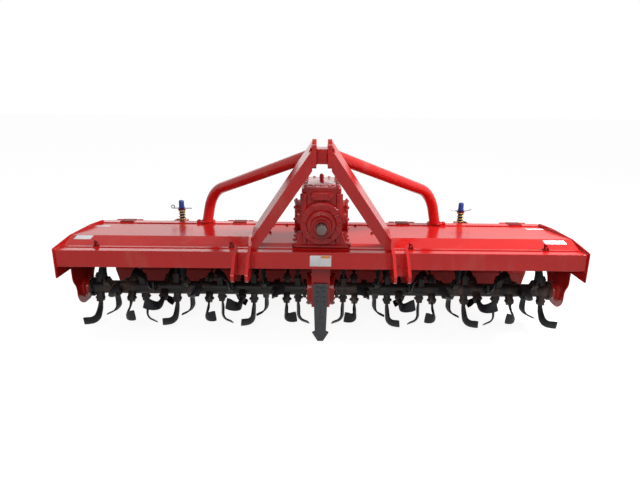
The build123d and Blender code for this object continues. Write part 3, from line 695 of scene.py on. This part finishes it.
cheek = {
    "in": 0.028, "out": 0.036, "pinZ": 0.535, "bolt": (0.017, 0.007, 0.0115, 0.0015),
    "outline": ((0.345, 0.548), (0.345, 0.5645), (0.392, 0.562), (0.44, 0.5575), (0.465, 0.548),
        (0.465, 0.52), (0.416, 0.52), (0.39, 0.548)),
    "radii": (0.002, 0.002, 0.02, 0.02, 0.012, 0.008)}


def coil(x, low, high, turns):
    # A circle carried along a helix of angle 2 pi t; it rises evenly, but nearly flat over the end turns.
    mean, wire = springs["mean"], springs["wire"]
    t = np.linspace(0, turns, int(turns * springs["perTurn"]))
    a = 2 * np.pi * t
    rise = high - low - wire
    flat, slight = springs["endTurns"], springs["endRise"] * rise
    lift = np.interp(t, (0, flat, turns - flat, turns), (0, slight, rise - slight, rise))
    path = [x + mean * np.cos(a), springs["y"] + mean * np.sin(a), low + wire / 2 + lift]
    return tube(np.stack(path, -1), wire / 2, 8)


def wireClip(bowed):
    # A round bar through the rod with an eye bent at one end; the bowed kind lifts at both ends.
    wire, half, eye = clip["wire"], clip["half"], clip["eye"]
    if bowed:
        return tube(throughPoints(filleted(clip["bow"], clip["bowRadii"]), 40), wire, 10)
    turn = np.linspace(clip["eyeFrom"], clip["eyeTo"] * np.pi, 22)
    eyeAt = eye + wire - half
    loop = np.stack([eyeAt - eye * np.sin(turn), clip["eyeLean"] * turn, eye - eye * np.cos(turn)], -1)
    bar = [(x, 0, 0) for x in (half - wire, *clip["barX"], eyeAt + clip["eyeGap"])]
    return tube(throughPoints(np.vstack([bar, loop]), 70), wire, 10)


def makeCheeks(name, side):
    # Each cheek is one side outline carried along X, with a bolt head where the guide's pin goes through.
    line = filleted(cheek["outline"], cheek["radii"], 3)
    thick, parts, pins = cheek["out"] - cheek["in"], [], []
    for near, way in ((-cheek["out"], -1), (cheek["in"], 1)):
        x0 = side * springs["x"] + near
        x1 = x0 + thick
        parts.append(skin(np.array([np.c_[np.full(len(line), x), line] for x in (x0, x1)])))
        pins.append(placed((x0 if way < 0 else x1, springs["y"], cheek["pinZ"]), (way, 0, 0)))
    parts.append(stamped(hexBolt(*cheek["bolt"]), pins))
    standIn(name + ".bracketCheeks", joined(*parts), name + "_spring_bracket")


def makeSpringRods():
    cap, washer = lathe(springs["cap"], 28), lathe(springs["washer"], 28, loop=True)
    for name, side in sides:
        x, y = side * springs["x"], springs["y"]
        capAt, washerAt, clipAt = [[placed((x, y, z), (0, 0, 1))]
                                   for z in (springs["capZ"], springs["washerZ"], clip["z"])]
        carry = coil(x, springs["carryLow"], springs["carryHigh"], springs["carryTurns"])
        push = coil(x, springs["pushLow"], springs["pushHigh"], springs["pushTurns"])
        body = bodyOf(name + "_carrying_spring")
        makeCheeks(name, side)
        standIn(name + ".rodTopCap", stamped(cap, capAt), name + "_rod_cap")
        standIn(name + ".clipWire", stamped(wireClip(side > 0), clipAt), name + "_rod_clip", 60)
        standIn(name + ".carryCoil", carry, name + "_carrying_spring", 60)
        makePiece(name + ".coilWasher", stamped(washer, washerAt), body, "hinge_paint")
        push = standIn(name + ".pushCoil", push, name + "_pressure_spring", 60)
        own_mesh(push)


makeSpringRods()
print("spring rods made")


# CAD nodes that keep their shape and get rounded edges: width of the edge, least angle that is rounded.
# A name that starts with an underline stands for a left and a right node.
eased = {
    "thickPlates": {"width": 0.0035, "angle": 35,
        "nodes": ("front_beam", "_mast_leg", "mast_spacer", "gear_leg")},
    "plates": {"width": 0.0018, "angle": 35,
        "nodes": ("_top_link_ear", "_inner_hitch_ear", "_outer_hitch_ear", "_hitch_back_plate",
            "_brace_pad", "hinge_straps", "_rod_guide", "_eye_lug", "centre_tine")},
    "foldedSheets": {"width": 0.0012, "angle": 8,
        "nodes": ("_side_deck", "centre_deck", "rear_rail", "trailing_board", "board_stiffener")}}


def easedCopy(node, width, angle):
    # A copy of a CAD node with its doubles merged, flat faces joined and edges rounded by width.
    mesh = frame["nodes"][node].data.copy()
    mesh.name = node + ".eased"
    made = bmesh.new()
    made.from_mesh(mesh)
    bmesh.ops.remove_doubles(made, verts=made.verts, dist=2e-6)
    bmesh.ops.dissolve_limit(made, angle_limit=math.radians(0.6), verts=made.verts, edges=made.edges)
    for layer in list(made.loops.layers.uv):
        made.loops.layers.uv.remove(layer)
    made.to_mesh(mesh)
    made.free()
    for name in [a.name for a in mesh.attributes if a.name in ("custom_normal", "sharp_face")]:
        mesh.attributes.remove(mesh.attributes[name])
    mesh.materials.clear()
    finish = finishes["deckFinish" if "deck" in node else slotOf[node]]
    piece = addPiece(mesh.name, mesh, bodyOf(node), slotOf[node], [node], angle, finish)
    bevel = piece.modifiers.new("edges", "BEVEL")
    bevel.width, bevel.segments = width, 2
    bevel.limit_method, bevel.angle_limit = "ANGLE", math.radians(angle)
    bevel.use_clamp_overlap = True
    bevel.harden_normals = True


def easeNodes():
    for kind in eased.values():
        for node in kind["nodes"]:
            for start in ("left", "right") if node.startswith("_") else ("",):
                easedCopy(start + node, kind["width"], kind["angle"])


easeNodes()
print("edges rounded")


# End plates with the bearing caps' outer faces.
endPlate = {
    "inner": 1.392, "face": 1.397, "edge": 0.0015,
    "outline": ((-0.32, 0.576), (-0.32, 0.412), (-0.158, 0.412), (-0.158, 0.33), (-0.121, 0.285),
        (-0.121, 0.22), (-0.093, 0.18), (-0.053, 0.16), (0.027, 0.16), (0.067, 0.18), (0.095, 0.22),
        (0.095, 0.285), (0.132, 0.33), (0.132, 0.412), (0.334, 0.452), (0.334, 0.565), (0.302, 0.577),
        (0.132, 0.592), (-0.121, 0.597)),
    "lobe": 0.03, "corner": 0.006, "lobesBelow": 0.34,     # corner radii, low down and elsewhere
    "cap": ((0.052, -0.001), (0.052, 0.0012), (0.049, 0.0024), (0.03, 0.0026), (0.028, 0.0016),
        (0.012, 0.0016), (0.0105, 0.0028), (0.0002, 0.0028)),
    "boltCircle": 0.064, "bolt": (0.013, 0.002, 0.009, 0.0006)}


def makeEndPlates():
    # The outline's corners become arcs, and it is carried along X and drawn in at the face for the edge.
    # It runs anticlockwise in (y, z), so inward is its direction turned a quarter turn to the left.
    corners = np.array(endPlate["outline"])
    start = (corners[-1] + corners[0]) / 2
    radii = [endPlate["lobe" if z < endPlate["lobesBelow"] else "corner"] for z in corners[:, 1]]
    ring = filleted(np.vstack([start, corners, start]), radii, 7)[:-1]
    ahead = np.roll(ring, -1, 0) - np.roll(ring, 1, 0)
    inward = np.stack([-ahead[:, 1], ahead[:, 0]], -1) / np.linalg.norm(ahead, axis=1)[:, None]
    face, edge = endPlate["face"], endPlate["edge"]
    levels = ((endPlate["inner"], 0), (face - edge, 0), (face - edge * 0.3, edge * 0.3), (face, edge))
    cap, bolt = lathe(endPlate["cap"], 44), hexBolt(*endPlate["bolt"])
    for name, side in sides:
        rings = [np.c_[np.full(len(ring), side * x), ring + inward * inset] for x, inset in levels]
        hub = [placed((side * face, *rotor["axis"]), (side, 0, 0))]
        heads = roundX(side * face, rotor["axis"], endPlate["boltCircle"], range(30, 390, 60), side)
        shape = joined(skin(np.array(rings)), stamped(cap, hub), stamped(bolt, heads))
        standIn(name + ".endPlate", shape, name + "_end_plate")


makeEndPlates()
print("end plates made")


# Weld beads: a wavy tube laid along each seam.
welds = {
    "radius": 0.0036, "thin": 0.003, "footRadius": 0.0045, "strapRadius": 0.0028, "plateRadius": 0.004,
    "pitch": 0.0055, "swell": 0.16, "uneven": 0.04, "endSwell": 0.55, "inset": 0.004,
    "beamFront": -0.308, "beamTop": 0.565, "beamBottom": 0.473, "earBack": -0.238,
    "innerEar": (0.362, 0.378), "outerEar": (0.433, 0.449),
    "backPlate": ((-0.316, 0.445), (-0.316, 0.561)),
    "braceFoot": (0.736, 0.314, 0.573), "braceRadius": 0.033,
    "spacerX": 0.026, "spacer": [((-0.356, z), (-0.24, z)) for z in (1.03, 1.103)],
    "hingeX": (0.52, 1.24), "strapEdges": (-0.041, 0.041), "strap": ((0.306, 0.566), (0.345, 0.566)),
    "plateX": 1.391, "beamEnd": [((-0.306, z), (-0.22, z)) for z in (0.565, 0.473)]}


def bead(path, radius=welds["radius"], closed=False):
    # Points spaced evenly along the path; the radius swells as 1 + s |sin| once a pitch, with some noise.
    path = np.array(path, float)
    if closed:
        path = np.vstack([path, path[:1]])
    length = np.r_[0, np.cumsum(np.linalg.norm(np.diff(path, axis=0), axis=1))]
    count = max(int(length[-1] / welds["pitch"] * 3), 6)
    at = np.linspace(0, length[-1], count)
    points = np.stack([np.interp(at, length, path[:, k]) for k in range(3)], -1)
    wave = np.abs(np.sin(np.pi * at / welds["pitch"]))
    swell = 1 + welds["swell"] * wave + rng.normal(0, welds["uneven"], count)
    if closed:
        return tube(points[:-1], radius * swell[:-1], 7, loop=True)
    swell[0], swell[-1] = welds["endSwell"], welds["endSwell"]
    return tube(points, radius * swell, 7)


def seam(x, start, end, radius=welds["radius"]):     # a straight bead between two (y, z) points
    return bead([(x, *start), (x, *end)], radius)


def sideWelds(side):
    # One side's seams, in a fixed order, because each bead draws its own noise.
    front, top, low, inset = [welds[name] for name in ("beamFront", "beamTop", "beamBottom", "inset")]
    inner, outer, thin = welds["innerEar"], welds["outerEar"], welds["thin"]
    beads = [seam(side * x, (front, low + inset), (front, top - inset)) for x in inner + outer]
    beads += [seam(side * x, (front + inset, top), (welds["earBack"], top)) for x in inner]
    beads += [seam(side * x, *welds["backPlate"], thin) for x in (inner[1], outer[0])]
    x, y, z = welds["braceFoot"]
    foot = circle(welds["braceRadius"], fullTurn(48), z) + (side * x, y, 0)
    beads.append(bead(foot, welds["footRadius"], True))
    beads += [seam(side * welds["spacerX"], *ends, thin) for ends in welds["spacer"]]
    beads += [seam(side * x + edge, *welds["strap"], welds["strapRadius"])
              for x in welds["hingeX"] for edge in welds["strapEdges"]]
    x, radius = side * welds["plateX"], welds["plateRadius"]
    return beads + [seam(x, *ends, radius) for ends in welds["beamEnd"]]


makePiece("frameWelds", joined(*sideWelds(1), *sideWelds(-1)), "frame", "red_paint", (), 60)
print("welds made")


# Bolts and small fittings on the frame.
deckClamp = {
    "at": ((0.478, -0.238, 0.569), (1.2, -0.238, 0.569)),
    "foot": (0, 0, 0.0025, 0.03, 0.024, 0.005, 0.003, 0.0015, 3),
    "upright": (-0.006, 0.003, 0.016, 0.007, 0.016, 0.03, 0.003, 0.0015, 3),
    "bolts": (((-0.0025, 0.003, 0.021), (1, 0, 0)), ((0.008, -0.002, 0.005), (0, 0, 1))),
    "bolt": (0.01, 0.006, 0.0075, 0.001, 0.005)}
legFoot = (0.3615, -0.211, 0.5635, 0.047, 0.094, 0.005, 0.002, 0.0008, 2)
padBolt = {
    "x": 0.736, "offsets": (-0.046, 0.046), "y": (0.304, 0.324), "z": 0.573,
    "plateX": 0.4055, "plateY": -0.316, "plateZ": (0.49, 0.548),
    "size": (0.016, 0.006, 0.0115, 0.0015, 0.0015)}
deckBolt = {
    "spots": ((0.3, 0.265), (0.3, 0.06), (0.215, 0.265)), "up": (0, 0.038, 1),
    "front": (-0.178, 0.577), "back": (0.29, 0.559),      # (y, z) of the deck's two edges
    "size": (0.013, 0.007, 0.0105, 0.0015, 0.003)}
legBolt = {
    "x": 0.077, "circle": 0.083, "degrees": (20, 65, 115, 160, 200, 250, 290, 340),
    "rows": [(0.051, y, z) for z in (0.545, 0.47, 0.395) for y in (-0.165, 0.045)],
    "size": (0.013, 0.006, 0.009, 0.0012)}
tineBolt = {
    "spots": [(0.0215, -0.202, z) for z in (0.33, 0.3, 0.27, 0.24)],
    "head": ((0.0062, 0), (0.006, 0.0018), (0.0048, 0.0036), (0.0024, 0.0046), (0.0002, 0.0048))}


def makeDeckClamps():
    # A small foot with an upright and a bolt through it, and a bolt down through the foot.
    base = [roundedBox(*deckClamp["foot"]), roundedBox(*deckClamp["upright"])]
    base += [boltsAt(deckClamp["bolt"], [spot], way) for spot, way in deckClamp["bolts"]]
    feet = [placed(at, (0, 0, 1)) for at in bothSides(deckClamp["at"])]
    makePiece("deckClamps", stamped(joined(*base), feet), "frame", "hinge_paint")


def makeLegFeet():
    # Foot plates close the decks round the mast legs' feet.
    feet = joined(*[roundedBox(side * legFoot[0], *legFoot[1:]) for side in (1, -1)])
    makePiece("legFootPlates", feet, "frame", slotOf["centre_deck"], finish=finishes["deckFinish"])


def deckHeight(y):                 # on the straight line between the deck's two edges
    (frontY, frontZ), (backY, backZ) = deckBolt["front"], deckBolt["back"]
    return frontZ + (y - frontY) / (backY - frontY) * (backZ - frontZ)


def makeDeckBolts():
    # Each head is turned by its own random angle, drawn in the order of these loops.
    small, large = [], []
    for side in (1, -1):
        for offset in padBolt["offsets"]:
            for y in padBolt["y"]:
                at = (side * padBolt["x"] + offset, y, padBolt["z"])
                large.append(placed(at, (0, 0, 1), turn=rng.uniform(0, 1)))
        for x, y in deckBolt["spots"]:
            small.append(placed((side * x, y, deckHeight(y)), deckBolt["up"], turn=rng.uniform(0, 1)))
        for z in padBolt["plateZ"]:
            at = (side * padBolt["plateX"], padBolt["plateY"], z)
            large.append(placed(at, (0, -1, 0), turn=rng.uniform(0, 1)))
    makePiece("deckBolts", stamped(hexBolt(*deckBolt["size"]), small), "frame", "hinge_paint")
    makePiece("padBolts", stamped(hexBolt(*padBolt["size"]), large), "frame", "red_paint")


def makeLegBolts():
    # Gear leg: cover bolts round the lower lobe and up both edges. Tine: two columns of round heads.
    rim = []
    for side in (1, -1):
        rim += roundX(side * legBolt["x"], rotor["axis"], legBolt["circle"], legBolt["degrees"], side)
        rim += [placed((side * x, y, z), (side, 0, 0)) for x, y, z in legBolt["rows"]]
    makePiece("legBolts", stamped(hexBolt(*legBolt["size"]), rim), "frame", slotOf["gear_leg"])
    heads = [placed(spot, (0, -1, 0)) for spot in bothSides(tineBolt["spots"])]
    makePiece("tineBolts", stamped(lathe(tineBolt["head"], 14), heads), "frame", slotOf["centre_tine"])


makeDeckClamps()
makeLegFeet()
makeDeckBolts()
makeLegBolts()
print("fittings made")


# Blank labels, a hair above the paint: middle, size and the face each lies on.
labels = {
    "slopeRight": ((-1.309, -0.142), (0.093, 0.046), "slope"),
    "slopeLeft": ((1.283, -0.152), (0.118, 0.046), "slope"),
    "rearRight": ((-1.338, 0.178), (0.088, 0.046), "rear"),
    "rearLeft": ((1.318, 0.205), (0.105, 0.044), "rear"),
    "beamMiddle": ((-0.0025, 0.5188), (0.112, 0.06), "front")}
labelFaces = {      # upward direction, rise along y
    "slope": ((0, -0.209, 0.9779), 0.2137), "rear": ((0, 0.0861, 0.9963), -0.0864)}
labelSheet = {
    "foldY": -0.115, "foldZ": 0.594, "above": 0.0001,
    "middle": 0.0006, "sheet": (0.0008, 0.003, 0.0002, 3),      # thickness, corner, edge, arc points
    "band": (0.026, 0.0215, 0.0011, 0.05, 0.012, 0.0006, 0.001, 0.0001, 2)}


def labelPlace(at, face):
    # On a deck the height follows its fold line: z0 + slope (y - y0); on the beam it is given.
    if face == "front":
        return placed((at[0], welds["beamFront"], at[1]), (0, -1, 0))
    up, slope = labelFaces[face]
    z = labelSheet["foldZ"] + slope * (at[1] - labelSheet["foldY"]) + labelSheet["above"]
    return placed((*at, z), up)


def makeLabels():
    white = plasticFinish("labelWhite", (0.8, 0.8, 0.8), (0.72, 0.73, 0.75), 0.35)
    orange = plasticFinish("labelOrange", (0.85, 0.3, 0.05), (0.75, 0.25, 0.05), 0.35)
    for name, (at, size, face) in labels.items():
        matrix = labelPlace(at, face)
        plate = stamped(roundedBox(0, 0, labelSheet["middle"], *size, *labelSheet["sheet"]), [matrix])
        makePiece("label." + name, plate, "frame", None, finish=white)
        if face == "front":
            band = stamped(roundedBox(*labelSheet["band"]), [matrix])
            makePiece("labelBand." + name, band, "frame", None, finish=orange)


makeLabels()
print("labels made")


# Every CAD node wears its slot's finish.
for nodeName, cadNode in frame["nodes"].items():
    cadNode.data.materials.clear()
    cadNode.data.materials.append(finishes[slotOf[nodeName]])
print("finishes put on:", len(frame["nodes"]))


studio = {"floorSize": 60.0, "floorTone": 0.26, "lift": 0.9, "skyLow": 0.03, "skyHigh": 0.38}
lamps = {
    "keyLamp": {"at": (3.0, -0.2, 2.8), "aim": (0.5, 0.0, 0.5), "size": (1.2, 1.2), "power": 152.0},
    "frontLamp": {"at": (-0.4, -4.4, 3.0), "aim": (0.0, 0.0, 0.5), "size": (2.6, 1.6), "power": 88.0},
    "backLamp": {"at": (-2.6, 4.6, 2.0), "aim": (-0.9, 0.0, 0.6), "size": (3.4, 1.6), "power": 14.0}}
eye = {"at": (-0.0063, -2.8015, 1.3565), "lens": 28.25, "sensor": 36.0, "down": 16.17, "roll": 0.53}


def seeingRays(shade):
    # 1 for camera, mirror and glass rays, 0 for the rays that only light things.
    camera, mirror, glass = [shade.node("LightPath", out="Is %s Ray" % kind)
                             for kind in ("Camera", "Glossy", "Transmission")]
    return (camera + mirror + glass).step(0.0, 1.0)


def addFloor():
    # The floor is diffuse for the light it throws; camera and mirror rays see it lifted to white.
    mesh = bpy.data.meshes.new("floor")
    half = studio["floorSize"] / 2
    corners = [(-half, -half, 0), (half, -half, 0), (half, half, 0), (-half, half, 0)]
    mesh.from_pydata(corners, [], [(0, 1, 2, 3)])
    made, s, at = newMaterial("floorWhite")
    tone = studio["floorTone"]
    mottle = s.noise(at, 3.0).step(0.2, 0.8).mix((tone, tone, tone), (tone + 0.02,) * 3)
    matt = s.node("BsdfDiffuse", None, {"Color": mottle})
    glow = s.node("Emission", None, {"Color": (1, 1, 1, 1), "Strength": seeingRays(s) * studio["lift"]})
    s.node("AddShader", None, {0: matt, 1: glow}).end("Material")
    mesh.materials.append(made)
    addObject("floor", mesh)


def addSky():
    # Dim at the horizon and brighter overhead for the light it throws; plain white where it is seen.
    world = bpy.data.worlds.new("studio")
    bpy.context.scene.world = world
    world.use_nodes = True
    world.node_tree.nodes.clear()
    s = Shade(world.node_tree)
    height = s.node("SeparateXYZ", None, {0: s.node("TexCoord", out="Generated")}, out="Z")
    low, high = studio["skyLow"], studio["skyHigh"]
    dim = height.step(0.0, 0.85) * (high - low) + low
    strength = dim + seeingRays(s) * (1 - dim)
    s.node("Background", None, {"Color": (1, 1, 1, 1), "Strength": strength}).end("World")


def addLamps():
    for name, lamp in lamps.items():
        data = bpy.data.lights.new(name, "AREA")
        data.shape, data.size, data.size_y = "RECTANGLE", *lamp["size"]
        data.energy = lamp["power"]
        made = addObject(name, data)
        made.location = lamp["at"]
        way = Vector(lamp["aim"]) - Vector(lamp["at"])
        made.rotation_euler = way.to_track_quat("-Z", "Y").to_euler()
        made.visible_camera = False


def addCamera():
    data = bpy.data.cameras.new("camera")
    data.lens, data.sensor_width = eye["lens"], eye["sensor"]
    camera = addObject("camera", data)
    tilt = Matrix.Rotation(math.radians(90 - eye["down"]), 4, "X")
    roll = Matrix.Rotation(math.radians(eye["roll"]), 4, "Z")
    camera.matrix_world = Matrix.Translation(eye["at"]) @ tilt @ roll
    bpy.context.scene.camera = camera


addFloor()
addSky()
addLamps()
addCamera()
bpy.context.scene.view_settings.view_transform = "Standard"
print("stage, lamps and camera set")

bpy.context.view_layer.update()
